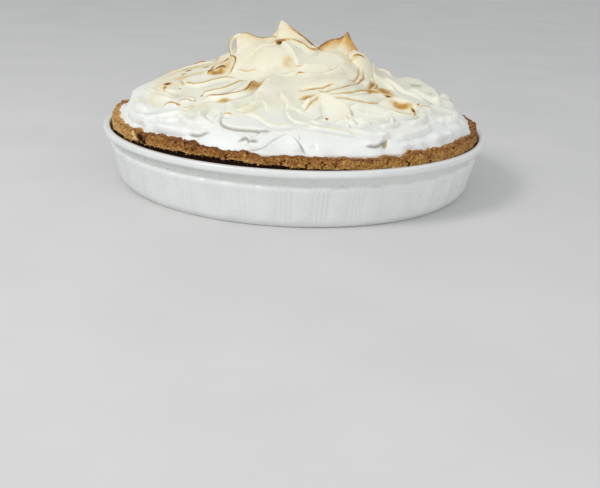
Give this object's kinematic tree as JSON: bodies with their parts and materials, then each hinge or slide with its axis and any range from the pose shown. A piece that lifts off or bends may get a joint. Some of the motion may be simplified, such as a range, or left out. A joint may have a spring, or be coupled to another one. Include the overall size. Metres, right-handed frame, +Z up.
{
  "type": "lemon meringue pie",
  "caption": "Uncut round meringue pie with browned swirls and a peaked crown, baked in its own white fluted ceramic dish.",
  "frame": {"origin": "middle of the dish's foot, on the surface it stands on", "axes": "+Z up, -Y to the side that faces the viewer, +X to the viewer's right"},
  "size_m": [0.264, 0.264, 0.1088],
  "materials": {
    "dish": "glossy white glaze",
    "crust": "dry baked pastry, matte and crumbly",
    "meringue": "soft satin egg-white foam, toasted on its ridges"
  },
  "bodies": {
    "root": {"dish": "dish", "crust": "crust", "meringue": "meringue"}
  },
  "joints": []
}
